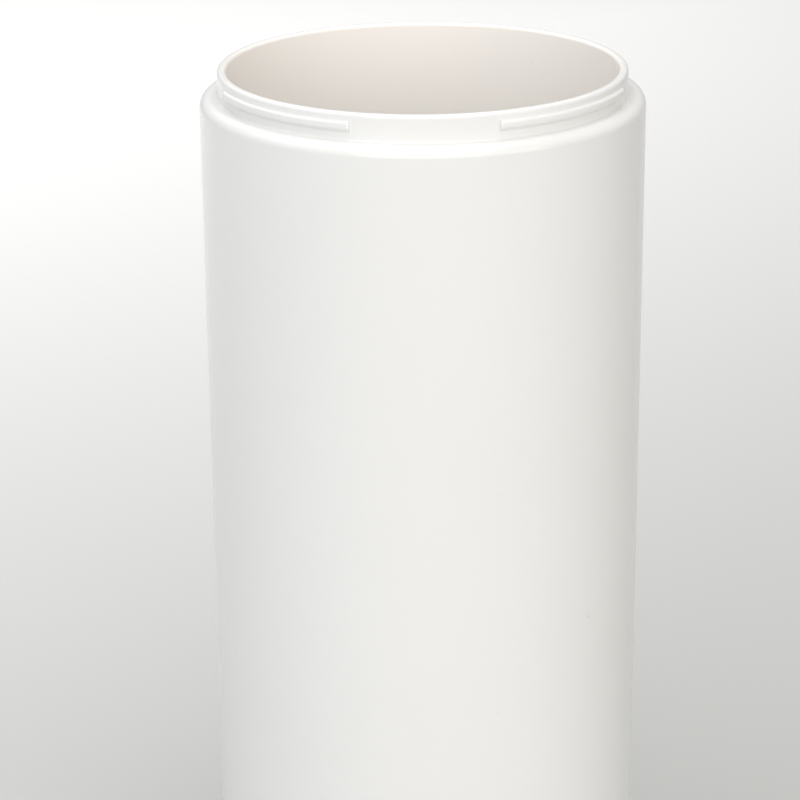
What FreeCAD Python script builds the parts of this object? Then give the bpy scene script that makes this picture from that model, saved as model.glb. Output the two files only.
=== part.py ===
"""Open detergent dispenser bottle: a lift-out tank with a bayonet neck inside a round outer sleeve.

Millimetres, +Z up. The origin is the centre of the base, on the surface that the bottle stands on.
Each function makes one piece, and each piece is written to its own STEP file.
"""

import FreeCAD
import Part

import math
import os

# ---- driving dimensions ----------------------------------------------------------------
total_height = 190.0          # resting surface to rim

# outer sleeve
body_diameter = 80.0
sleeve_wall = 2.0
sleeve_foot_round = 1.6       # outer edge at the bottom

# tank
ledge_width = 3.25            # sleeve's outside to the outside of the neck
tank_wall = 1.6
tank_floor = 2.0
tank_corner_radius = 4.0      # inside, between wall and floor
rim_round = 0.65              # both edges of the rim
neck_height = 4.7             # ledge to rim
neck_root_round = 0.3

# ledge: the tank's flange that rests on the sleeve
flange_thickness = 4.0
flange_edge_round = 2.0
register_height = 6.0         # plain ring below the flange that centres the tank in the sleeve
register_clearance = 0.1      # radial, register to sleeve
register_lead_in = 0.5

# gasket under the flange
gasket_inset = 0.45           # from each side of the sleeve's wall
gasket_thickness = 1.0

# bayonet lugs on the neck
lug_count = 4
lug_angle = 50.0
lug_first_angle = 45.0
lug_below_rim = 1.4
lug_height = 1.9
lug_reach = 0.75
lug_edge_round = 0.5
lug_underside_slope = 0.65     # 45-degree lower face that clears a dispensing head

# foot ring and base plate
foot_stand_off = 1.0          # how far the ring lifts the plate off the surface
foot_edge_margin = 2.25       # edge of the plate to the ring
foot_width = 7.4
foot_seat_depth = 1.2
foot_round = 0.4
foot_groove_count = 3
foot_groove_width = 0.8
foot_groove_depth = 0.5

plate_thickness = 5.0
plate_clearance = 0.15        # radial, plate to sleeve
plate_edge_round = 0.5
pocket_floor = 2.2            # left under the hollow inside the drum
hub_radius = 4.0
rib_count = 8
rib_width = 1.4
drum_wall = 2.0
drum_height = 8.5
drum_boss_gap = 2.5           # drum to the sleeve's bosses

# base seal: an O-ring in the plate's edge
base_seal_cord = 1.8
base_seal_rise = 3.0          # plate's underside to the middle of the cord
seal_squeeze = 0.1
groove_side_clearance = 0.15

# screws and the sleeve's bosses
screw_count = 4
screw_first_angle = 45.0
screw_shank_diameter = 3.0
screw_length = 8.0
screw_head_diameter = 5.4
screw_head_height = 1.5
screw_tip_length = 0.8
screw_recess_width = 0.8
screw_recess_span = 3.0
screw_recess_depth = 0.9
screw_hole_clearance = 0.2    # radial, shank to plate
screw_head_clearance = 0.3    # radial, head to counterbore
screw_head_gap = 0.3          # head to foot ring
thread_bite = 0.2             # radial, thread into the boss
boss_diameter = 6.8
boss_height = 7.5
pilot_extra_depth = 0.6
boss_web_width = 2.4

# cushion under the tank
cushion_thickness = 2.0
cushion_overhang = 2.0        # how far it reaches inside the drum
cushion_groove_depth = 0.8
cushion_lip_height = 8.0
cushion_lip_gap = 0.2         # radial, lip to tank
cushion_sleeve_gap = 0.15     # radial, lip to sleeve

# keys that stop the tank turning
key_count = 4
key_width = 3.0
key_length = 9.0
key_overhang = 4.0            # how far a key reaches outside the drum
key_depth = 4.5
key_side_clearance = 0.3
key_end_clearance = 0.5

# ---- radii and heights that follow ------------------------------------------------------
body_radius = body_diameter / 2
bore_radius = body_radius - sleeve_wall
tank_radius = body_radius - ledge_width
cavity_radius = tank_radius - tank_wall
register_radius = bore_radius - register_clearance
plate_radius = bore_radius - plate_clearance
foot_outer_radius = plate_radius - foot_edge_margin
foot_inner_radius = foot_outer_radius - foot_width
screw_circle_radius = foot_inner_radius + foot_width / 2
drum_outer_radius = screw_circle_radius - boss_diameter / 2 - drum_boss_gap
drum_inner_radius = drum_outer_radius - drum_wall
cushion_inner_radius = drum_inner_radius - cushion_overhang
key_outer_radius = drum_outer_radius + key_overhang
floor_outer_radius = tank_corner_radius + tank_wall

ledge_top = total_height - neck_height
sleeve_top = ledge_top - flange_thickness
plate_bottom = foot_stand_off
plate_top = plate_bottom + plate_thickness
seal_middle = plate_bottom + base_seal_rise
foot_top = plate_bottom + foot_seat_depth
screw_head_bottom = foot_top + screw_head_gap
screw_seat = screw_head_bottom + screw_head_height
drum_top = plate_top + drum_height
cushion_bottom = drum_top - cushion_groove_depth
tank_bottom = cushion_bottom + cushion_thickness
key_bottom = tank_bottom - key_depth
floor_top = tank_bottom + tank_floor

# ---- helpers ----------------------------------------------------------------------------
axis_start = FreeCAD.Vector(0, 0, 0)
axis_up = FreeCAD.Vector(0, 0, 1)


def tube(inner_radius, outer_radius, bottom, top):
    """A plain ring, or a disc where the inner radius is zero."""
    base = FreeCAD.Vector(0, 0, bottom)
    solid = Part.makeCylinder(outer_radius, top - bottom, base, axis_up)
    if inner_radius > 0:
        solid = solid.cut(Part.makeCylinder(inner_radius, top - bottom, base, axis_up))
    return solid


def cylinder_at(radius, bottom, top, centre_radius, angle):
    """An upright cylinder whose centre is out at an angle from the axis."""
    turn = math.radians(angle)
    base = FreeCAD.Vector(centre_radius * math.cos(turn), centre_radius * math.sin(turn), bottom)
    return Part.makeCylinder(radius, top - bottom, base, axis_up)


def radial_bar(inner_radius, outer_radius, width, bottom, top, angle):
    """A straight bar that points away from the axis at an angle."""
    corner = FreeCAD.Vector(inner_radius, -width / 2, bottom)
    bar = Part.makeBox(outer_radius - inner_radius, width, top - bottom, corner)
    bar.rotate(axis_start, axis_up, angle)
    return bar


def angles(count, first_angle=0.0):
    """Angles of a pattern that is spread evenly around the axis."""
    return [first_angle + index * 360.0 / count for index in range(count)]


def circles_at(solid, radius, height):
    """The solid's full round edges of one radius at one height."""
    found = []
    for edge in solid.Edges:
        curve = edge.Curve
        if not isinstance(curve, Part.Circle):
            continue
        if abs(curve.Radius - radius) < 1e-4 and abs(curve.Center.z - height) < 1e-4:
            found.append(edge)
    return found


def round_edges(solid, round_radius, places):
    """Rounds the circular edges at the given (radius, height) places."""
    edges = []
    for radius, height in places:
        edges += circles_at(solid, radius, height)
    return solid.makeFillet(round_radius, edges)


def one_solid(shape):
    """The shape as a single clean solid."""
    return shape.removeSplitter().Solids[0]


# ---- outer sleeve and what it holds -----------------------------------------------------
def make_outer_sleeve():
    """The visible tube, with a screw boss and web for each base screw."""
    sleeve = tube(bore_radius, body_radius, plate_bottom, sleeve_top)
    sleeve = round_edges(sleeve, sleeve_foot_round, [(body_radius, plate_bottom)])
    boss_top = plate_top + boss_height
    into_wall = bore_radius + sleeve_wall / 2
    for angle in angles(screw_count, screw_first_angle):
        boss = cylinder_at(boss_diameter / 2, plate_top, boss_top, screw_circle_radius, angle)
        web = radial_bar(screw_circle_radius, into_wall, boss_web_width, plate_top, boss_top, angle)
        sleeve = sleeve.fuse([boss, web])
    pilot_radius = screw_shank_diameter / 2 - thread_bite
    pilot_top = screw_seat + screw_length + pilot_extra_depth
    for angle in angles(screw_count, screw_first_angle):
        pilot = cylinder_at(pilot_radius, plate_top, pilot_top, screw_circle_radius, angle)
        sleeve = sleeve.cut(pilot)
    return one_solid(sleeve)


def make_base_plate():
    """The screwed-in floor of the sleeve, with a drum that carries the cushion."""
    plate = tube(0, plate_radius, plate_bottom, plate_top)
    plate = round_edges(plate, plate_edge_round, [(plate_radius, plate_bottom)])
    plate = plate.fuse(tube(drum_inner_radius, drum_outer_radius, plate_top, drum_top))
    plate = plate.cut(tube(hub_radius, drum_inner_radius, plate_bottom + pocket_floor, plate_top))
    for angle in angles(rib_count):
        rib = radial_bar(hub_radius / 2, drum_inner_radius + drum_wall / 2, rib_width,
                         plate_bottom + pocket_floor / 2, plate_top, angle)
        plate = plate.fuse(rib)
    plate = plate.cut(tube(foot_inner_radius, foot_outer_radius, plate_bottom, foot_top))
    groove_half = base_seal_cord / 2 + groove_side_clearance
    groove_floor = bore_radius - base_seal_cord + seal_squeeze
    seal_groove = tube(groove_floor, body_radius, seal_middle - groove_half, seal_middle + groove_half)
    plate = plate.cut(seal_groove)
    for angle in angles(screw_count, screw_first_angle):
        hole_radius = screw_shank_diameter / 2 + screw_hole_clearance
        head_radius = screw_head_diameter / 2 + screw_head_clearance
        hole = cylinder_at(hole_radius, foot_top, plate_top, screw_circle_radius, angle)
        counterbore = cylinder_at(head_radius, foot_top, screw_seat, screw_circle_radius, angle)
        plate = plate.cut(hole.fuse(counterbore))
    for angle in angles(key_count):
        plate = plate.cut(make_keyway(angle))
    return one_solid(plate)


def make_base_seal():
    """The O-ring between the plate's edge and the sleeve, slightly squeezed."""
    cord_radius = base_seal_cord / 2
    ring_radius = bore_radius - cord_radius + seal_squeeze / 2
    return Part.makeTorus(ring_radius, cord_radius, FreeCAD.Vector(0, 0, seal_middle), axis_up)


def make_base_screws():
    """Pan-head self-tapping screws, driven up through the plate into the bosses."""
    screws = []
    shank_radius = screw_shank_diameter / 2
    head_radius = screw_head_diameter / 2
    tip_start = screw_seat + screw_length - screw_tip_length
    for angle in angles(screw_count, screw_first_angle):
        turn = math.radians(angle)
        across = screw_circle_radius * math.cos(turn)
        along = screw_circle_radius * math.sin(turn)
        head = cylinder_at(head_radius, screw_head_bottom, screw_seat, screw_circle_radius, angle)
        head = head.makeChamfer(screw_head_height / 4, circles_at(head, head_radius, screw_head_bottom))
        shank = cylinder_at(shank_radius, screw_seat, tip_start, screw_circle_radius, angle)
        tip = Part.makeCone(shank_radius, shank_radius / 2, screw_tip_length,
                            FreeCAD.Vector(across, along, tip_start), axis_up)
        screw = head.fuse([shank, tip])
        recess_top = screw_head_bottom + screw_recess_depth
        for quarter_turn in (0.0, 90.0):
            slot = radial_bar(-screw_recess_span / 2, screw_recess_span / 2, screw_recess_width,
                              screw_head_bottom, recess_top, quarter_turn)
            slot.translate(FreeCAD.Vector(across, along, 0))
            screw = screw.cut(slot)
        screws.append(one_solid(screw))
    return Part.makeCompound(screws)


def make_foot_ring():
    """The non-slip ring that the bottle stands on, with fine grip grooves."""
    ring = tube(foot_inner_radius, foot_outer_radius, 0, foot_top)
    ring = round_edges(ring, foot_round, [(foot_inner_radius, 0), (foot_outer_radius, 0)])
    pitch = (foot_outer_radius - foot_inner_radius) / (foot_groove_count + 1)
    for index in range(foot_groove_count):
        middle = foot_inner_radius + (index + 1) * pitch
        groove = tube(middle - foot_groove_width / 2, middle + foot_groove_width / 2, 0, foot_groove_depth)
        ring = ring.cut(groove)
    return one_solid(ring)


def make_tank_cushion():
    """The soft cup on the drum: it takes up rattle and centres the bottom of the tank."""
    lip_outer = bore_radius - cushion_sleeve_gap
    lip_inner = tank_radius + cushion_lip_gap
    lip_top = tank_bottom + cushion_lip_height
    cushion = tube(cushion_inner_radius, lip_outer, cushion_bottom, lip_top)
    cushion = cushion.cut(tube(0, lip_inner, tank_bottom, lip_top))
    cushion = cushion.cut(tube(drum_inner_radius, drum_outer_radius, cushion_bottom, drum_top))
    for angle in angles(key_count):
        cushion = cushion.cut(make_keyway(angle))
    return one_solid(cushion)


# ---- tank and what it carries -----------------------------------------------------------
def make_key(angle):
    """A radial rib under the tank's floor, with its lower edges eased."""
    key = radial_bar(key_outer_radius - key_length, key_outer_radius, key_width,
                     key_bottom, tank_bottom + tank_floor / 2, angle)
    lower_edges = [edge for edge in key.Edges if abs(edge.BoundBox.ZMax - key_bottom) < 1e-4]
    return key.makeChamfer(key_width / 5, lower_edges)


def make_keyway(angle):
    """The space that a key drops into, through the cushion and into the drum."""
    return radial_bar(key_outer_radius - key_length - key_end_clearance,
                      key_outer_radius + key_end_clearance,
                      key_width + 2 * key_side_clearance,
                      key_bottom - key_end_clearance, tank_bottom, angle)


def make_lug(angle):
    """One bayonet lug: a thin rib around part of the neck, with a sloping underside."""
    lug_top = total_height - lug_below_rim
    lug_outer = tank_radius + lug_reach
    # the rib starts inside the wall so that it joins the neck all along
    lug_inner = tank_radius - tank_wall / 2
    start = FreeCAD.Vector(lug_inner, 0, lug_top - lug_height)
    reach = lug_outer - lug_inner
    corners = [start,
               start + FreeCAD.Vector(reach - lug_underside_slope, 0, 0),
               start + FreeCAD.Vector(reach, 0, lug_underside_slope),
               start + FreeCAD.Vector(reach, 0, lug_height),
               start + FreeCAD.Vector(0, 0, lug_height),
               start]
    lug = Part.Face(Part.makePolygon(corners)).revolve(axis_start, axis_up, lug_angle)
    outer_edges = []
    for edge in lug.Edges:
        ends = [math.hypot(vertex.X, vertex.Y) for vertex in edge.Vertexes]
        if min(ends) > lug_outer - 1e-4:
            outer_edges.append(edge)
    lug = lug.makeFillet(lug_edge_round, outer_edges)
    lug.rotate(axis_start, axis_up, angle - lug_angle / 2)
    return lug


def make_inner_tank():
    """The liquid tank: rim, neck with lugs, ledge flange, centring register, wall, floor and keys."""
    tank = tube(0, tank_radius, tank_bottom, total_height)
    tank = tank.fuse(tube(0, body_radius, sleeve_top, ledge_top))
    register_bottom = sleeve_top - register_height
    register = tube(0, register_radius, register_bottom, sleeve_top)
    register = register.makeChamfer(register_lead_in, circles_at(register, register_radius, register_bottom))
    tank = tank.fuse(register).removeSplitter()
    tank = round_edges(tank, flange_edge_round, [(body_radius, ledge_top)])
    tank = round_edges(tank, neck_root_round, [(tank_radius, ledge_top)])
    tank = round_edges(tank, floor_outer_radius, [(tank_radius, tank_bottom)])
    cavity = tube(0, cavity_radius, floor_top, total_height)
    cavity = round_edges(cavity, tank_corner_radius, [(cavity_radius, floor_top)])
    tank = tank.cut(cavity)
    tank = round_edges(tank, rim_round, [(tank_radius, total_height), (cavity_radius, total_height)])
    tank = tank.cut(make_ledge_gasket())
    tank = tank.fuse([make_lug(angle) for angle in angles(lug_count, lug_first_angle)])
    tank = tank.fuse([make_key(angle) for angle in angles(key_count)])
    return one_solid(tank)


def make_ledge_gasket():
    """The flat ring in the flange's underside that closes the joint on the sleeve's top edge."""
    return tube(bore_radius + gasket_inset, body_radius - gasket_inset, sleeve_top,
                sleeve_top + gasket_thickness)


pieces = {
    "outer_sleeve": make_outer_sleeve,
    "base_plate": make_base_plate,
    "base_seal": make_base_seal,
    "base_screws": make_base_screws,
    "foot_ring": make_foot_ring,
    "tank_cushion": make_tank_cushion,
    "inner_tank": make_inner_tank,
    "ledge_gasket": make_ledge_gasket,
}

os.makedirs("parts", exist_ok=True)
for node_name, make_piece in pieces.items():
    piece = make_piece()
    piece.exportStep("parts/" + node_name + ".step")
    box = piece.optimalBoundingBox()
    print(f"{node_name}: solids {len(piece.Solids)}, valid {piece.isValid()}, volume {piece.Volume:.1f},"
          f" z {box.ZMin:.2f} to {box.ZMax:.2f}, width {box.XLength:.2f}")
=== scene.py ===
"""Looks of an open detergent dispenser bottle.

A lift-out tank with a bayonet neck stands in a round outer sleeve. Metres, +Z up, in the frame of
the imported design. The sleeve and the tank are modelled here in fine detail, and the smaller pieces
keep their designed shape and are given their finishes.
"""

import logging
import math
from dataclasses import dataclass
from enum import Enum
from typing import Any, Callable, Sequence

import bmesh
import bpy
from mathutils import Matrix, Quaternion, Vector


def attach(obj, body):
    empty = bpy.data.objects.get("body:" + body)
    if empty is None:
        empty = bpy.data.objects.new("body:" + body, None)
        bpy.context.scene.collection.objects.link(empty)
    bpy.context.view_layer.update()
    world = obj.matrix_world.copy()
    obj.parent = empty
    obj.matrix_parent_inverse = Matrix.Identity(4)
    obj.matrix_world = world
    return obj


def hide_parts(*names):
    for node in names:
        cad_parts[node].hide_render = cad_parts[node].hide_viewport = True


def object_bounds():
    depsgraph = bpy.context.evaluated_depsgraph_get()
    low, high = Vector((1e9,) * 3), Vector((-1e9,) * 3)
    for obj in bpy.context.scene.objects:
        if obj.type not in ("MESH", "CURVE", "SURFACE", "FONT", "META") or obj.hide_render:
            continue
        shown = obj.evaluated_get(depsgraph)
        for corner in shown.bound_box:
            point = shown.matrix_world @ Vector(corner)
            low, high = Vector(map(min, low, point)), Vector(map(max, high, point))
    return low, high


START_OBJECTS = ("Cube", "Light", "Camera")
for start_name in START_OBJECTS:
    if start_name in bpy.data.objects:
        bpy.data.objects.remove(bpy.data.objects[start_name])

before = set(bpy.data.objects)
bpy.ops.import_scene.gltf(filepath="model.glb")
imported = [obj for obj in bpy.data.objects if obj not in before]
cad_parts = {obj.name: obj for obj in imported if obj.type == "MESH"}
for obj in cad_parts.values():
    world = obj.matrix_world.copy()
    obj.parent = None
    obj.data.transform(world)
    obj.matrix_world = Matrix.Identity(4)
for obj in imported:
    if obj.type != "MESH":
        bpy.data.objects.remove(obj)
design_low, design_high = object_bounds()

log = logging.getLogger("bottle")

MM = 0.001
TURN = 2 * math.pi
# Two heights or radii closer than this are the same one.
NEAR = 0.01 * MM
# Edges that turn less than this are smoothed.
SMOOTH_BELOW = math.radians(31.0)
# The numbers of a Mix node's colour sockets.
MIX_FIRST, MIX_SECOND, MIX_RESULT = 6, 7, 2
Colour = tuple[float, float, float]


# ---- shader building ----------------------------------------------------------------------
class Value:
    """A number that varies over a surface; arithmetic on it adds Math nodes."""

    def __init__(self, tree: "Tree", socket: bpy.types.NodeSocket | None) -> None:
        """Wraps a socket.

        Args:
            tree: The tree that the socket belongs to.
            socket: The output that holds the number, or None for a node without outputs.
        """
        self.tree = tree
        self.socket = socket

    def _math(self, operation: str, *values: Any) -> "Value":
        """Adds one Math node.

        Args:
            operation: The Math node's operation.
            values: Its inputs in order, numbers or values.

        Returns:
            The node's result.
        """
        inputs = dict(enumerate(values))
        return self.tree.node("ShaderNodeMath", {"operation": operation}, inputs)

    def __add__(self, other: Any) -> "Value":
        """Sum."""
        return self._math("ADD", self, other)

    def __radd__(self, other: Any) -> "Value":
        """Sum, reflected."""
        return self._math("ADD", other, self)

    def __sub__(self, other: Any) -> "Value":
        """Difference."""
        return self._math("SUBTRACT", self, other)

    def __rsub__(self, other: Any) -> "Value":
        """Difference, reflected."""
        return self._math("SUBTRACT", other, self)

    def __mul__(self, other: Any) -> "Value":
        """Product."""
        return self._math("MULTIPLY", self, other)

    def __rmul__(self, other: Any) -> "Value":
        """Product, reflected."""
        return self._math("MULTIPLY", other, self)

    def __truediv__(self, other: Any) -> "Value":
        """Quotient."""
        return self._math("DIVIDE", self, other)

    def __rtruediv__(self, other: Any) -> "Value":
        """Quotient, reflected."""
        return self._math("DIVIDE", other, self)

    def __pow__(self, other: Any) -> "Value":
        """Power."""
        return self._math("POWER", self, other)

    def __rpow__(self, other: Any) -> "Value":
        """Power, reflected."""
        return self._math("POWER", other, self)

    def ramp(self, low: float, high: float) -> "Value":
        """A smooth step of this value.

        Args:
            low: Where the result leaves 0.
            high: Where the result reaches 1.

        Returns:
            A value from 0 to 1.
        """
        settings = {"interpolation_type": "SMOOTHSTEP"}
        inputs = {"Value": self, "From Min": low, "From Max": high}
        return self.tree.node("ShaderNodeMapRange", settings, inputs)


class Tree:
    """The node tree of one material."""

    def __init__(self, name: str) -> None:
        """Makes an empty material.

        Args:
            name: The material's name.
        """
        self.material = bpy.data.materials.new(name)
        self.material.use_nodes = True
        self.nodes = self.material.node_tree.nodes
        self.links = self.material.node_tree.links
        self.nodes.clear()

    def node(self, kind: str, settings: dict[str, Any] | None = None,
             inputs: dict[Any, Any] | None = None, output: Any = 0) -> Value:
        """Adds a node, sets it and then fills its sockets.

        Args:
            kind: The node's type.
            settings: Its own settings, such as an operation.
            inputs: What goes into its sockets, by name or number: a number, a colour or a Value.
            output: The wanted output, by name or number.

        Returns:
            The wanted output, or a Value that holds nothing where the node has no output.
        """
        made = self.nodes.new(kind)
        for key, value in (settings or {}).items():
            setattr(made, key, value)
        for key, value in (inputs or {}).items():
            socket = made.inputs[key]
            if isinstance(value, Value):
                self.links.new(value.socket, socket)
            else:
                socket.default_value = value
        return Value(self, made.outputs[output] if made.outputs else None)

    def place(self) -> Value:
        """The point on the piece, in metres."""
        return self.node("ShaderNodeTexCoord", output="Object")

    def stretched(self, scale: Sequence[float]) -> Value:
        """The point on the piece, stretched along each axis.

        Args:
            scale: The factor for X, Y and Z.

        Returns:
            The stretched point.
        """
        return self.node("ShaderNodeMapping", inputs={"Vector": self.place(), "Scale": scale})

    def axis(self, name: str) -> Value:
        """One coordinate of the point on the piece.

        Args:
            name: X, Y or Z.

        Returns:
            The coordinate in metres.
        """
        return self.node("ShaderNodeSeparateXYZ", inputs={0: self.place()}, output=name)

    def from_axis(self) -> Value:
        """Distance of the point from the bottle's axis, in metres."""
        return (self.axis("X") ** 2 + self.axis("Y") ** 2) ** 0.5

    def noise(self, scale: float, detail: float = 2.0, roughness: float = 0.5,
              stretch: Sequence[float] = (1.0, 1.0, 1.0)) -> Value:
        """Cloudy noise.

        Args:
            scale: Patches to the metre.
            detail: How many finer layers are added.
            roughness: How strong the finer layers are.
            stretch: Factors that squeeze the pattern along X, Y and Z.

        Returns:
            A value around 0.5.
        """
        inputs = {"Vector": self.stretched(stretch), "Scale": scale, "Detail": detail,
                  "Roughness": roughness}
        return self.node("ShaderNodeTexNoise", {"noise_dimensions": "3D"}, inputs)

    def specks(self, scale: float, share: float, size: float) -> Value:
        """Sparse round specks.

        Args:
            scale: Cells to the metre, one possible speck in each.
            share: The share of cells that hold a speck.
            size: The speck's radius as a share of a cell.

        Returns:
            1 in a speck and 0 elsewhere, with soft edges.
        """
        inputs = {"Vector": self.place(), "Scale": scale, "Randomness": 1.0}
        distance = self.node("ShaderNodeTexVoronoi", {"feature": "F1"}, inputs, "Distance")
        colour = self.node("ShaderNodeTexVoronoi", {"feature": "F1"}, inputs, "Color")
        chance = self.node("ShaderNodeSeparateColor", inputs={0: colour}, output="Red")
        return (1 - distance.ramp(size * 0.5, size)) * (1 - chance.ramp(share, share + 0.001))

    def mix(self, factor: Any, first: Any, second: Any) -> Value:
        """A blend of two colours.

        Args:
            factor: 0 for the first and 1 for the second.
            first: The first colour.
            second: The second colour.

        Returns:
            The blended colour.
        """
        inputs = {"Factor": factor, MIX_FIRST: self.opaque(first), MIX_SECOND: self.opaque(second)}
        return self.node("ShaderNodeMix", {"data_type": "RGBA"}, inputs, MIX_RESULT)

    @staticmethod
    def opaque(colour: Any) -> Any:
        """A colour with its alpha.

        Args:
            colour: Three numbers, or a Value, which is left as it is.

        Returns:
            Four numbers, or the Value.
        """
        return colour if isinstance(colour, Value) else (*colour, 1.0)

    def bump(self, height: Value, depth: float, under: Value | None = None) -> Value:
        """A bump from a height pattern.

        Args:
            height: The pattern.
            depth: How high the pattern's 1 stands, in metres.
            under: A bump that this one is added to.

        Returns:
            The bent normal.
        """
        inputs: dict[Any, Any] = {"Strength": 1.0, "Distance": depth, "Height": height}
        if under is not None:
            inputs["Normal"] = under
        return self.node("ShaderNodeBump", inputs=inputs)

    def finish(self, surface: dict[str, Any]) -> bpy.types.Material:
        """Adds the surface shader and the output.

        Args:
            surface: What goes into the Principled shader's sockets.

        Returns:
            The finished material.
        """
        shader = self.node("ShaderNodeBsdfPrincipled", inputs=surface)
        self.node("ShaderNodeOutputMaterial", inputs={"Surface": shader})
        return self.material


# ---- finishes -----------------------------------------------------------------------------
@dataclass(frozen=True)
class MouldedPlastic:
    """Glossy moulded plastic: faint clouding, orange peel, polish lines, specks and light wear, plus
    painted light: a brighter, warmer colour nearer the axis than a given radius.
    """

    name: str
    colour: Colour
    cloud_colour: Colour
    # Painted light: nearer the axis than the radius below, the piece takes this brighter colour.
    inside_painted_light_colour: Colour
    painted_light_below: float
    speck_colour: Colour
    roughness: float
    handled_roughness: float
    orange_peel: float
    polish_depth: float
    scuffs_below: float

    def build(self) -> bpy.types.Material:
        """Makes the material.

        Returns:
            The finished material.
        """
        tree = Tree(self.name)
        clouds = tree.noise(scale=26.0, detail=3.0).ramp(0.35, 0.7)
        flow = tree.noise(scale=90.0, detail=2.0, stretch=(1.0, 1.0, 0.12)).ramp(0.3, 0.8)
        specks = tree.specks(scale=240.0, share=0.035, size=0.07)
        colour = tree.mix(clouds * 0.6 + flow * 0.4, self.colour, self.cloud_colour)
        # Painted light: surfaces nearer the axis than the given radius, mainly the tank's inside,
        # get a brighter, warmer colour that stands in for the light falling into the mouth.
        inside = 1 - tree.from_axis().ramp(self.painted_light_below - 0.4 * MM, self.painted_light_below)
        colour = tree.mix(inside, colour, self.inside_painted_light_colour)
        colour = tree.mix(specks * 0.7, colour, self.speck_colour)

        smudges = tree.noise(scale=55.0, detail=4.0, roughness=0.6).ramp(0.45, 0.8)
        fine_marks = tree.noise(scale=700.0, detail=2.0, stretch=(1.0, 1.0, 0.06)).ramp(0.4, 0.9)
        scuffs = tree.noise(scale=480.0, detail=4.0, stretch=(1.0, 1.0, 3.0)).ramp(0.5, 0.8)
        near_base = 1 - tree.axis("Z").ramp(0.0, self.scuffs_below)
        wear = scuffs * near_base
        swing = self.handled_roughness - self.roughness
        roughness = self.roughness + swing * (smudges * 0.55 + fine_marks * 0.2 + wear * 0.5)
        colour = tree.mix(wear * 0.12, colour, self.speck_colour)

        peel = tree.noise(scale=430.0, detail=1.0)
        polish = tree.noise(scale=1500.0, detail=2.0, stretch=(1.0, 1.0, 0.03))
        normal = tree.bump(peel, self.orange_peel)
        normal = tree.bump(polish, self.polish_depth, normal)
        normal = tree.bump(wear, -0.3 * self.orange_peel, normal)
        return tree.finish({
            "Base Color": colour, "Roughness": roughness, "Normal": normal, "IOR": 1.49,
        })


@dataclass(frozen=True)
class SparkPlastic:
    """Matt moulded plastic with the fine pitted texture of a spark-eroded mould."""

    name: str
    colour: Colour
    shade_colour: Colour
    roughness: float
    grain_depth: float

    def build(self) -> bpy.types.Material:
        """Makes the material.

        Returns:
            The finished material.
        """
        tree = Tree(self.name)
        clouds = tree.noise(scale=40.0, detail=3.0).ramp(0.3, 0.75)
        grain = tree.noise(scale=2600.0, detail=3.0, roughness=0.65)
        pits = tree.specks(scale=900.0, share=0.4, size=0.35)
        colour = tree.mix(clouds * 0.5 + grain * 0.3, self.colour, self.shade_colour)
        roughness = self.roughness + 0.14 * (grain - 0.5) + 0.06 * clouds
        normal = tree.bump(grain, self.grain_depth)
        normal = tree.bump(pits, -self.grain_depth, normal)
        return tree.finish({"Base Color": colour, "Roughness": roughness, "Normal": normal})


@dataclass(frozen=True)
class SoftRubber:
    """Silicone or rubber: a matt skin with bloom, fine dust and a slightly uneven surface."""

    name: str
    colour: Colour
    bloom_colour: Colour
    dust_colour: Colour
    roughness: float
    skin_depth: float

    def build(self) -> bpy.types.Material:
        """Makes the material.

        Returns:
            The finished material.
        """
        tree = Tree(self.name)
        bloom = tree.noise(scale=120.0, detail=4.0, roughness=0.6).ramp(0.4, 0.75)
        skin = tree.noise(scale=1400.0, detail=3.0, roughness=0.6)
        dust = tree.specks(scale=1100.0, share=0.22, size=0.16)
        colour = tree.mix(bloom * 0.6, self.colour, self.bloom_colour)
        colour = tree.mix(dust * 0.5, colour, self.dust_colour)
        roughness = self.roughness + 0.12 * bloom + 0.08 * (skin - 0.5)
        normal = tree.bump(skin, self.skin_depth)
        return tree.finish({"Base Color": colour, "Roughness": roughness, "Normal": normal})


@dataclass(frozen=True)
class ScrewSteel:
    """Stainless steel of small screws: fine turning marks, stains and dulled hollows."""

    name: str
    colour: Colour
    stain_colour: Colour
    roughness: float

    def build(self) -> bpy.types.Material:
        """Makes the material.

        Returns:
            The finished material.
        """
        tree = Tree(self.name)
        marks = tree.noise(scale=3000.0, detail=2.0, stretch=(0.15, 0.15, 1.0))
        stains = tree.noise(scale=380.0, detail=4.0).ramp(0.5, 0.75)
        colour = tree.mix(stains * 0.5, self.colour, self.stain_colour)
        roughness = self.roughness + 0.15 * (marks - 0.5) + 0.15 * stains
        normal = tree.bump(marks, 0.004 * MM)
        return tree.finish({"Base Color": colour, "Roughness": roughness, "Metallic": 1.0,
                            "Normal": normal})


@dataclass(frozen=True)
class StudioPaper:
    """The pale paper that the bottle stands on, with painted shade: grey in front, fading to white
    at the back, and darker to the right.
    """

    name: str
    painted_shade_near_colour: Colour
    far_colour: Colour
    near_reach: float
    far_reach: float
    shade_lean: float

    def build(self) -> bpy.types.Material:
        """Makes the material.

        Returns:
            The finished material.
        """
        tree = Tree(self.name)
        # Painted shade: the paper darkens from the back towards the front and the bottle, and more
        # so to the right, standing in for the falloff of light and the bottle's soft shadow.
        back = tree.axis("Y") - tree.axis("X") * self.shade_lean
        painted_shade_fade = (back - self.near_reach) / (self.far_reach - self.near_reach)
        fibres = tree.noise(scale=900.0, detail=3.0)
        colour = tree.mix(painted_shade_fade, self.painted_shade_near_colour, self.far_colour)
        normal = tree.bump(fibres, 0.01 * MM)
        return tree.finish({"Base Color": colour, "Roughness": 0.75 + 0.1 * fibres,
                            "Specular IOR Level": 0.2, "Normal": normal})


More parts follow.
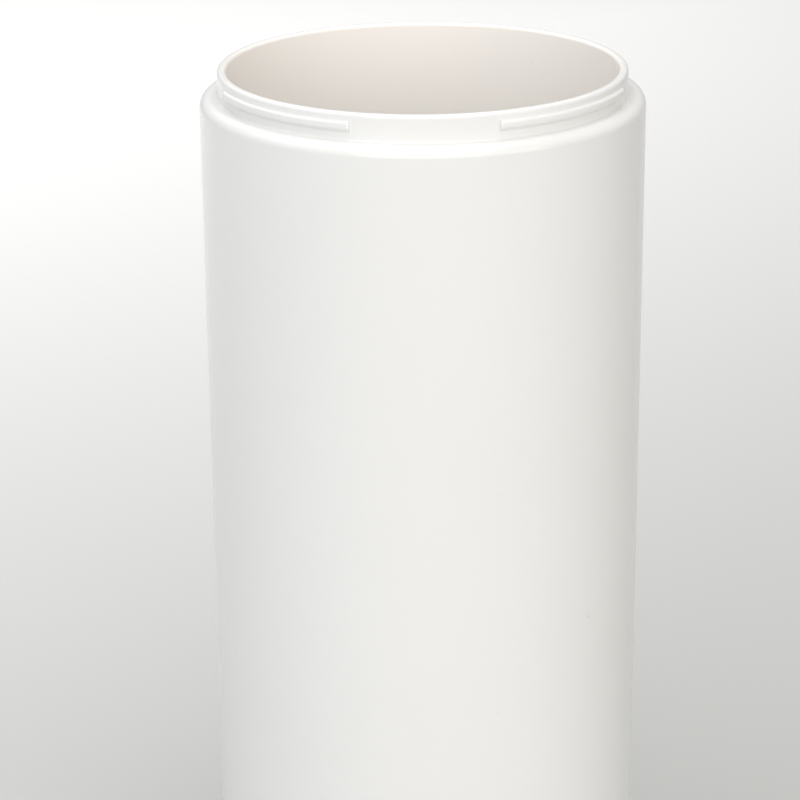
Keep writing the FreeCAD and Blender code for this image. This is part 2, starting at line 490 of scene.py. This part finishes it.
class Finish(Enum):
    """The finishes of the bottle's pieces and of the paper under it."""

    SLEEVE = MouldedPlastic(
        name="sleeve_gloss_white", colour=(0.82, 0.82, 0.815), cloud_colour=(0.808, 0.808, 0.80),
        inside_painted_light_colour=(0.82, 0.82, 0.815), painted_light_below=0.0 * MM,
        speck_colour=(0.5, 0.49, 0.47), roughness=0.18, handled_roughness=0.24,
        orange_peel=0.004 * MM, polish_depth=0.0006 * MM, scuffs_below=16 * MM)
    # The tank's inside colour is painted light: brighter and warmer than its plastic.
    TANK = MouldedPlastic(
        name="tank_satin_white", colour=(0.82, 0.82, 0.815), cloud_colour=(0.808, 0.808, 0.80),
        inside_painted_light_colour=(0.918, 0.888, 0.852), painted_light_below=35.9 * MM,
        speck_colour=(0.45, 0.42, 0.38), roughness=0.18, handled_roughness=0.24,
        orange_peel=0.004 * MM, polish_depth=0.0008 * MM, scuffs_below=1 * MM)
    BASE = SparkPlastic(
        name="base_textured_white", colour=(0.78, 0.78, 0.77), shade_colour=(0.72, 0.72, 0.70),
        roughness=0.5, grain_depth=0.02 * MM)
    FOOT = SoftRubber(
        name="foot_grey_rubber", colour=(0.12, 0.123, 0.125), bloom_colour=(0.19, 0.19, 0.19),
        dust_colour=(0.5, 0.49, 0.46), roughness=0.62, skin_depth=0.012 * MM)
    CUSHION = SoftRubber(
        name="cushion_pale_silicone", colour=(0.42, 0.43, 0.43), bloom_colour=(0.5, 0.5, 0.49),
        dust_colour=(0.62, 0.61, 0.58), roughness=0.5, skin_depth=0.008 * MM)
    SEAL = SoftRubber(
        name="seal_clear_silicone", colour=(0.55, 0.56, 0.55), bloom_colour=(0.62, 0.62, 0.61),
        dust_colour=(0.7, 0.69, 0.66), roughness=0.42, skin_depth=0.005 * MM)
    SCREW = ScrewSteel(
        name="screw_steel", colour=(0.62, 0.61, 0.59), stain_colour=(0.42, 0.40, 0.37),
        roughness=0.28)
    # The paper's grey front and darker right are painted shade.
    PAPER = StudioPaper(
        name="studio_paper", painted_shade_near_colour=(0.442, 0.447, 0.438), far_colour=(0.945, 0.945, 0.94),
        near_reach=-0.05, far_reach=0.85, shade_lean=0.6)


class Paintbox:
    """Makes each finish once and hands it out."""

    def __init__(self) -> None:
        """Starts with nothing made."""
        self.made: dict[Finish, bpy.types.Material] = {}

    def get(self, finish: Finish) -> bpy.types.Material:
        """The material of a finish.

        Args:
            finish: The wanted finish.

        Returns:
            Its material, the same one each time.
        """
        if finish not in self.made:
            self.made[finish] = finish.value.build()
        return self.made[finish]

    def dress(self, piece: bpy.types.Object, finish: Finish) -> None:
        """Gives a whole piece one finish.

        Args:
            piece: The piece.
            finish: Its finish.
        """
        material = self.get(finish)
        if not piece.material_slots:
            piece.data.materials.append(material)
        for slot in piece.material_slots:
            slot.material = material


# ---- modelling ----------------------------------------------------------------------------
class Bench:
    """One piece on the bench: a primitive that is cut, extruded and bevelled in edit mode."""

    def __init__(self, name: str, radius: float, bottom: float, top: float, sides: int) -> None:
        """Starts from an upright cylinder on the bottle's axis.

        Args:
            name: The piece's name.
            radius: The cylinder's radius.
            bottom: Height of its lower end.
            top: Height of its upper end.
            sides: Number of its sides.
        """
        bpy.ops.object.select_all(action="DESELECT")
        middle = (0.0, 0.0, (bottom + top) / 2)
        bpy.ops.mesh.primitive_cylinder_add(vertices=sides, radius=radius, depth=top - bottom,
                                            end_fill_type="NGON", location=middle)
        self.piece = bpy.context.active_object
        self.piece.name = name
        self.piece.data.name = name
        bpy.ops.object.transform_apply(location=True, rotation=True, scale=True)
        bpy.ops.object.mode_set(mode="EDIT")
        bpy.ops.mesh.select_mode(type="FACE")
        bpy.ops.mesh.select_all(action="DESELECT")

    def faces(self, test: Callable[[Vector, Vector], bool]) -> int:
        """Selects only the faces that pass a test.

        Args:
            test: Takes a face's centre and normal.

        Returns:
            How many were selected.
        """
        bpy.ops.mesh.select_mode(type="FACE")
        bpy.ops.mesh.select_all(action="DESELECT")
        mesh = bmesh.from_edit_mesh(self.piece.data)
        mesh.normal_update()
        found = [face for face in mesh.faces if test(face.calc_center_median(), face.normal)]
        for face in found:
            face.select_set(True)
        bmesh.update_edit_mesh(self.piece.data)
        return len(found)

    def edges(self, test: Callable[[Vector, Vector], bool]) -> None:
        """Selects only the edges that pass a test.

        Args:
            test: Takes an edge's two ends.
        """
        bpy.ops.mesh.select_mode(type="EDGE")
        bpy.ops.mesh.select_all(action="DESELECT")
        mesh = bmesh.from_edit_mesh(self.piece.data)
        for edge in mesh.edges:
            if test(edge.verts[0].co, edge.verts[1].co):
                edge.select_set(True)
        bmesh.update_edit_mesh(self.piece.data)

    def cut_level(self, *heights: float) -> None:
        """Cuts level rings into the whole piece.

        Args:
            heights: The height of each cut.
        """
        for height in heights:
            bpy.ops.mesh.select_mode(type="FACE")
            bpy.ops.mesh.select_all(action="SELECT")
            bpy.ops.mesh.bisect(plane_co=(0.0, 0.0, height), plane_no=(0.0, 0.0, 1.0))

    def widen(self, old_radius: float, new_radius: float) -> None:
        """Extrudes the selected faces and moves them to another radius.

        Args:
            old_radius: Their radius now.
            new_radius: Their radius after.
        """
        factor = new_radius / old_radius
        bpy.ops.mesh.extrude_region_move(TRANSFORM_OT_translate={"value": (0.0, 0.0, 0.0)})
        bpy.ops.transform.resize(value=(factor, factor, 1.0), center_override=(0.0, 0.0, 0.0))

    def raise_faces(self, height: float) -> None:
        """Extrudes the selected faces straight up, or down for a negative height."""
        bpy.ops.mesh.extrude_region_move(TRANSFORM_OT_translate={"value": (0.0, 0.0, height)})

    def round_ring(self, radius: float, height: float, width: float, steps: int) -> None:
        """Bevels the round edge at a radius and height.

        Args:
            radius: The edge's radius.
            height: The edge's height.
            width: The bevel's width.
            steps: The bevel's number of steps, 1 for a chamfer.
        """
        near = 0.002 * MM

        def on_ring(first: Vector, second: Vector) -> bool:
            """Whether an edge lies on the ring."""
            return all(abs(math.hypot(end.x, end.y) - radius) < near and abs(end.z - height) < near
                       for end in (first, second))

        self.edges(on_ring)
        self.bevel(width, steps)

    def bevel(self, width: float, steps: int) -> None:
        """Bevels the selected edges.

        Args:
            width: The bevel's width.
            steps: The bevel's number of steps.
        """
        bpy.ops.mesh.bevel(offset=width, offset_type="OFFSET", segments=steps, profile=0.5,
                           affect="EDGES", clamp_overlap=False)

    def done(self) -> bpy.types.Object:
        """Closes the mesh, smooths it by angle and leaves edit mode.

        Returns:
            The finished piece.
        """
        bpy.ops.mesh.select_all(action="SELECT")
        bpy.ops.mesh.remove_doubles(threshold=0.0005 * MM)
        bpy.ops.mesh.normals_make_consistent(inside=False)
        bpy.ops.mesh.select_all(action="DESELECT")
        bpy.ops.object.mode_set(mode="OBJECT")
        bpy.ops.object.shade_smooth_by_angle(angle=SMOOTH_BELOW)
        weighted = self.piece.modifiers.new("even_normals", "WEIGHTED_NORMAL")
        weighted.keep_sharp = True
        bpy.ops.object.modifier_apply(modifier=weighted.name)
        return self.piece


def outline_radius(point: Vector) -> float:
    """Distance of a point from the bottle's axis."""
    return math.hypot(point.x, point.y)


def quarter_angle(point: Vector) -> float:
    """A point's angle round the axis, in degrees from the nearest diagonal."""
    return abs(math.degrees(math.atan2(point.y, point.x)) % 90.0 - 45.0)


def is_side(normal: Vector) -> bool:
    """Whether a face stands upright."""
    return abs(normal.z) < 0.01


def faces_up(normal: Vector) -> bool:
    """Whether a face is level and faces up."""
    return normal.z > 0.99


def faces_down(normal: Vector) -> bool:
    """Whether a face is level and faces down."""
    return normal.z < -0.99


@dataclass
class Sleeve:
    """The outer sleeve and the pieces that stay with it."""

    paint: Paintbox
    radius: float = 40.0 * MM
    wall: float = 2.0 * MM
    bottom: float = 1.0 * MM
    top: float = 181.3 * MM
    foot_round: float = 1.6 * MM
    sides: int = 288
    boss_radius: float = 3.4 * MM
    boss_circle: float = 31.9 * MM
    boss_bottom: float = 6.0 * MM
    boss_top: float = 13.5 * MM
    web_width: float = 2.4 * MM
    pilot_radius: float = 1.3 * MM
    pilot_top: float = 12.6 * MM

    @property
    def bore(self) -> float:
        """Inner radius."""
        return self.radius - self.wall

    def build(self) -> bpy.types.Object:
        """Models the tube: end rings, bore and rounded foot.

        Returns:
            The sleeve.
        """
        bench = Bench("sleeve_shell", self.radius, self.bottom, self.top, self.sides)
        bench.faces(lambda centre, normal: faces_up(normal) or faces_down(normal))
        bpy.ops.mesh.inset(thickness=self.wall, use_even_offset=True)
        bpy.ops.mesh.delete(type="FACE")

        def on_bore(first: Vector, second: Vector) -> bool:
            """Whether an edge lies on one of the two open inner rings."""
            return max(outline_radius(first), outline_radius(second)) < self.bore + 0.1 * MM

        bench.edges(on_bore)
        bpy.ops.mesh.bridge_edge_loops()
        bench.round_ring(self.radius, self.bottom, self.foot_round, 8)
        return bench.done()

    def add_bosses(self, sleeve: bpy.types.Object) -> None:
        """Joins the four screw bosses and their webs to the inside of the tube.

        Args:
            sleeve: The tube.
        """
        for quarter in range(4):
            turn = TURN * (quarter + 0.5) / 4
            out = Vector((math.cos(turn), math.sin(turn), 0.0))
            middle = (self.boss_bottom + self.boss_top) / 2
            height = self.boss_top - self.boss_bottom
            place = out * self.boss_circle + Vector((0.0, 0.0, middle))
            bpy.ops.object.select_all(action="DESELECT")
            bpy.ops.mesh.primitive_cylinder_add(vertices=48, radius=self.boss_radius, depth=height,
                                                location=place)
            boss = bpy.context.active_object
            reach = self.bore + self.wall / 2 - self.boss_circle
            web_place = out * (self.boss_circle + reach / 2) + Vector((0.0, 0.0, middle))
            bpy.ops.mesh.primitive_cube_add(size=1.0, location=web_place, rotation=(0.0, 0.0, turn),
                                            scale=(reach, self.web_width, height))
            web = bpy.context.active_object
            combine(sleeve, boss, "UNION")
            combine(sleeve, web, "UNION")
            drill_height = self.pilot_top - self.boss_bottom + self.wall
            drill_place = out * self.boss_circle
            drill_place.z = self.pilot_top - drill_height / 2
            bpy.ops.mesh.primitive_cylinder_add(vertices=32, radius=self.pilot_radius,
                                                depth=drill_height, location=drill_place)
            combine(sleeve, bpy.context.active_object, "DIFFERENCE")

    def dress(self, sleeve: bpy.types.Object) -> None:
        """Gives the sleeve its finish and body, and the pieces inside it their finishes.

        Args:
            sleeve: The modelled sleeve.
        """
        self.paint.dress(sleeve, Finish.SLEEVE)
        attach(sleeve, "sleeve")
        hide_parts("outer_sleeve")
        kept = {"base_plate": Finish.BASE, "base_seal": Finish.SEAL, "base_screws": Finish.SCREW,
                "foot_ring": Finish.FOOT, "tank_cushion": Finish.CUSHION}
        for node, finish in kept.items():
            self.paint.dress(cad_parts[node], finish)
            log.info("dressed %s as %s", node, finish.name)


def combine(piece: bpy.types.Object, tool: bpy.types.Object, operation: str) -> None:
    """Applies a boolean with a helper solid, then removes the helper.

    Args:
        piece: The piece that is changed.
        tool: The helper solid.
        operation: UNION or DIFFERENCE.
    """
    boolean = piece.modifiers.new("combine", "BOOLEAN")
    boolean.operation = operation
    boolean.solver = "EXACT"
    boolean.object = tool
    bpy.ops.object.select_all(action="DESELECT")
    piece.select_set(True)
    bpy.context.view_layer.objects.active = piece
    bpy.ops.object.modifier_apply(modifier=boolean.name)
    bpy.data.objects.remove(tool)


@dataclass
class Tank:
    """The lift-out tank: rim, bayonet neck, ledge, register, wall, floor, keys and gasket."""

    paint: Paintbox
    rim_top: float = 190.0 * MM
    body_radius: float = 40.0 * MM
    radius: float = 36.75 * MM
    wall: float = 1.6 * MM
    rim_round: float = 0.65 * MM
    ledge_top: float = 185.3 * MM
    ledge_bottom: float = 181.3 * MM
    ledge_round: float = 2.0 * MM
    root_round: float = 0.3 * MM
    register_radius: float = 37.9 * MM
    register_bottom: float = 175.3 * MM
    register_lead: float = 0.5 * MM
    lug_top: float = 188.6 * MM
    lug_bottom: float = 186.7 * MM
    lug_reach: float = 0.75 * MM
    lug_angle: float = 50.0
    lug_round: float = 0.5 * MM
    lug_slope: float = 0.65 * MM
    bottom: float = 15.7 * MM
    floor: float = 2.0 * MM
    corner: float = 4.0 * MM
    key_inner: float = 21.0 * MM
    key_outer: float = 30.0 * MM
    key_width: float = 3.0 * MM
    key_depth: float = 4.5 * MM
    key_ease: float = 0.6 * MM
    sides: int = 288

    @property
    def cavity(self) -> float:
        """Inner radius."""
        return self.radius - self.wall

    def build(self) -> bpy.types.Object:
        """Models the tank from one cylinder.

        Returns:
            The tank.
        """
        bench = Bench("tank_shell", self.radius, self.bottom, self.rim_top, self.sides)
        bench.cut_level(self.register_bottom, self.ledge_bottom, self.ledge_top, self.lug_bottom,
                        self.lug_top)
        self.raise_bands(bench)
        self.raise_lugs(bench)
        self.hollow(bench)
        self.round_rings(bench)
        self.add_keys(bench)
        return bench.done()

    def raise_bands(self, bench: Bench) -> None:
        """Draws the ledge and the register out of the wall.

        Args:
            bench: The bench that holds the tank.
        """
        bench.faces(lambda centre, normal: is_side(normal)
                    and self.register_bottom < centre.z < self.ledge_top)
        bench.widen(self.radius, self.register_radius)
        bench.faces(lambda centre, normal: is_side(normal)
                    and self.ledge_bottom < centre.z < self.ledge_top)
        bench.widen(self.register_radius, self.body_radius)

    def raise_lugs(self, bench: Bench) -> None:
        """Draws the bayonet lugs out of the neck and rounds their edges.

        Args:
            bench: The bench that holds the tank.
        """
        bench.faces(lambda centre, normal: is_side(normal)
                    and self.lug_bottom < centre.z < self.lug_top
                    and quarter_angle(centre) < self.lug_angle / 2)
        bench.widen(self.radius, self.radius + self.lug_reach)

        def on_face_rim(first: Vector, second: Vector) -> bool:
            """Whether an edge lies on the outer face of a lug."""
            lug_radius = self.radius + self.lug_reach
            return all(abs(outline_radius(end) - lug_radius) < NEAR for end in (first, second))

        def is_level_at(height: float, first: Vector, second: Vector) -> bool:
            """Whether an edge is level at a height."""
            return abs(first.z - height) < NEAR and abs(second.z - height) < NEAR

        def on_lower_edge(first: Vector, second: Vector) -> bool:
            """Whether an edge is the lower edge of a lug's outer face."""
            return on_face_rim(first, second) and is_level_at(self.lug_bottom, first, second)

        def on_slope_top(first: Vector, second: Vector) -> bool:
            """Whether an edge is where the sloping underside meets the outer face."""
            slope_top = self.lug_bottom + self.lug_slope
            return on_face_rim(first, second) and is_level_at(slope_top, first, second)

        def on_upper_outline(first: Vector, second: Vector) -> bool:
            """Whether an edge is the top or an upright end of a lug's outer face.

            Args:
                first: One end of the edge.
                second: Its other end.

            Returns:
                True for such an edge.
            """
            if not on_face_rim(first, second):
                return False
            at_end = all(abs(quarter_angle(end) - self.lug_angle / 2) < 0.05
                         for end in (first, second))
            return at_end or is_level_at(self.lug_top, first, second)

        bench.edges(on_lower_edge)
        bench.bevel(self.lug_slope, 1)
        bench.edges(on_slope_top)
        bench.bevel(self.lug_round * math.tan(TURN / 16), 2)
        bench.edges(on_upper_outline)
        bench.bevel(self.lug_round, 5)

    def hollow(self, bench: Bench) -> None:
        """Sinks the cavity into the top.

        Args:
            bench: The bench that holds the tank.
        """
        bench.faces(lambda centre, normal: faces_up(normal) and centre.z > self.rim_top - NEAR)
        bench.widen(self.radius, self.cavity)
        bench.raise_faces(self.bottom + self.floor - self.rim_top)

    def round_rings(self, bench: Bench) -> None:
        """Rounds the rim, ledge, root, register and floor.

        Args:
            bench: The bench that holds the tank.
        """
        floor_top = self.bottom + self.floor
        bench.round_ring(self.radius, self.rim_top, self.rim_round, 8)
        bench.round_ring(self.cavity, self.rim_top, self.rim_round, 8)
        bench.round_ring(self.body_radius, self.ledge_top, self.ledge_round, 12)
        bench.round_ring(self.radius, self.ledge_top, self.root_round, 5)
        bench.round_ring(self.register_radius, self.register_bottom, self.register_lead, 1)
        bench.round_ring(self.cavity, floor_top, self.corner, 12)
        bench.round_ring(self.radius, self.bottom, self.corner + self.wall, 14)

    def add_keys(self, bench: Bench) -> None:
        """Cuts the underside and pulls the four keys down out of it.

        Args:
            bench: The bench that holds the tank.
        """
        half = self.key_width / 2
        levels = (-self.key_outer, -self.key_inner, -half, half, self.key_inner, self.key_outer)
        for direction in ((1.0, 0.0, 0.0), (0.0, 1.0, 0.0)):
            for level in levels:
                bench.faces(lambda centre, normal: faces_down(normal)
                            and abs(centre.z - self.bottom) < NEAR)
                point = [part * level for part in direction]
                bpy.ops.mesh.bisect(plane_co=point, plane_no=direction)

        def on_key(centre: Vector, normal: Vector) -> bool:
            """Whether a face of the underside is one of the four rectangles.

            Args:
                centre: The face's centre.
                normal: The face's normal.

            Returns:
                True for one of the four.
            """
            across, along = sorted((abs(centre.x), abs(centre.y)))
            return (faces_down(normal) and abs(centre.z - self.bottom) < NEAR
                    and across < half and self.key_inner < along < self.key_outer)

        found = bench.faces(on_key)
        log.info("tank keys: %d faces", found)
        bench.raise_faces(-self.key_depth)
        key_bottom = self.bottom - self.key_depth
        bench.edges(lambda first, second: max(first.z, second.z) < key_bottom + NEAR)
        bench.bevel(self.key_ease, 1)

    def dress(self, tank: bpy.types.Object) -> None:
        """Gives the tank its finish and body, and its gasket its finish.

        Args:
            tank: The modelled tank.
        """
        self.paint.dress(tank, Finish.TANK)
        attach(tank, "tank")
        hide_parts("inner_tank")
        self.paint.dress(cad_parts["ledge_gasket"], Finish.SEAL)


@dataclass(frozen=True)
class SoftBox:
    """One soft box: its place, its width and height, its power in watts and its colour."""

    name: str
    place: tuple[float, float, float]
    size: tuple[float, float]
    power: float
    colour: Colour = (1.0, 1.0, 1.0)
    points_down: bool = False

    def hang(self, middle: Vector) -> None:
        """Hangs the lamp.

        Args:
            middle: The bottle's middle, which the lamp faces unless it points straight down.
        """
        data = bpy.data.lights.new(self.name, "AREA")
        data.shape = "RECTANGLE"
        data.size, data.size_y = self.size
        data.energy = self.power
        data.color = self.colour
        lamp = bpy.data.objects.new(self.name, data)
        bpy.context.scene.collection.objects.link(lamp)
        place = Vector(self.place)
        aim = Vector((place.x, place.y, 0.0)) if self.points_down else middle
        lamp.location = place
        lamp.rotation_mode = "QUATERNION"
        lamp.rotation_quaternion = (aim - place).to_track_quat("-Z", "Y")


SOFT_BOXES = (
    SoftBox("front_low_box", (0.0, -1.2, 0.45), (1.6, 0.7), 7.8),
    SoftBox("front_high_box", (0.1, -1.05, 1.2), (1.6, 1.4), 3.2),
    SoftBox("front_top_box", (0.0, -0.45, 1.2), (0.8, 0.6), 1.8),
    SoftBox("top_box", (0.0, 0.0, 1.3), (0.9, 0.9), 3.3, colour=(1.0, 0.99, 0.95)),
    SoftBox("back_box", (0.0, 0.8, 1.1), (0.9, 0.6), 3.8),
    SoftBox("back_left_box", (-0.45, 0.95, 0.8), (0.7, 0.7), 2.3, points_down=True),
    SoftBox("left_box", (-0.75, 0.0, 0.95), (0.8, 0.8), 2.3),
    SoftBox("warm_card", (1.6, -1.3, 0.5), (0.8, 0.8), 5.0, colour=(1.0, 0.82, 0.62)),
)


@dataclass
class Studio:
    """The paper, the lights and the camera."""

    paint: Paintbox
    paper_radius: float = 6.0
    sky: float = 0.41
    sky_colour: Colour = (1.0, 1.0, 0.995)
    camera_aside: float = -4.535 * MM
    camera_back: float = 481.3 * MM
    camera_above_rim: float = 112.7 * MM
    camera_pitch: float = 20.13
    camera_roll: float = -0.506
    camera_lens: float = 123.56
    sensor_width: float = 36.0
    clip_start: float = 0.01
    clip_end: float = 30.0

    def lay_paper(self) -> None:
        """Lays a large round sheet of paper under the bottle."""
        bpy.ops.object.select_all(action="DESELECT")
        bpy.ops.mesh.primitive_circle_add(vertices=128, radius=self.paper_radius, fill_type="NGON")
        paper = bpy.context.active_object
        paper.name = "studio_paper"
        self.paint.dress(paper, Finish.PAPER)

    def light_sky(self) -> None:
        """Surrounds everything with even white light."""
        world = bpy.data.worlds.new("soft_studio")
        bpy.context.scene.world = world
        world.use_nodes = True
        background = world.node_tree.nodes["Background"]
        background.inputs["Color"].default_value = (*self.sky_colour, 1.0)
        background.inputs["Strength"].default_value = self.sky

    def light(self) -> None:
        """Lights the bottle softly from the front and from above."""
        self.light_sky()
        middle = Vector((0.0, 0.0, (design_low.z + design_high.z) / 2))
        for box in SOFT_BOXES:
            box.hang(middle)

    def place_camera(self) -> None:
        """Places the camera a little above the rim, looking down at the front of the bottle."""
        data = bpy.data.cameras.new("camera")
        data.lens = self.camera_lens
        data.sensor_width = self.sensor_width
        data.clip_start = self.clip_start
        data.clip_end = self.clip_end
        camera = bpy.data.objects.new("camera", data)
        bpy.context.scene.collection.objects.link(camera)
        camera.location = (self.camera_aside, -self.camera_back,
                           design_high.z + self.camera_above_rim)
        camera.rotation_mode = "QUATERNION"
        tilt = Quaternion((1.0, 0.0, 0.0), math.radians(90.0 - self.camera_pitch))
        roll = Quaternion((0.0, 0.0, 1.0), math.radians(self.camera_roll))
        camera.rotation_quaternion = tilt @ roll
        bpy.context.scene.camera = camera

    def set_tones(self) -> None:
        """Shows white as white, with no film look."""
        settings = bpy.context.scene.view_settings
        settings.view_transform = "Standard"
        settings.look = "None"


def main() -> None:
    """Builds and dresses the bottle, then the studio round it."""
    logging.basicConfig(level=logging.INFO, format="%(message)s")
    paint = Paintbox()

    sleeve = Sleeve(paint)
    shell = sleeve.build()
    sleeve.add_bosses(shell)
    sleeve.dress(shell)
    log.info("sleeve: %d faces", len(shell.data.polygons))

    tank = Tank(paint)
    vessel = tank.build()
    tank.dress(vessel)
    log.info("tank: %d faces", len(vessel.data.polygons))

    studio = Studio(paint)
    studio.lay_paper()
    studio.light()
    studio.place_camera()
    studio.set_tones()


if __name__ == "__main__":
    main()
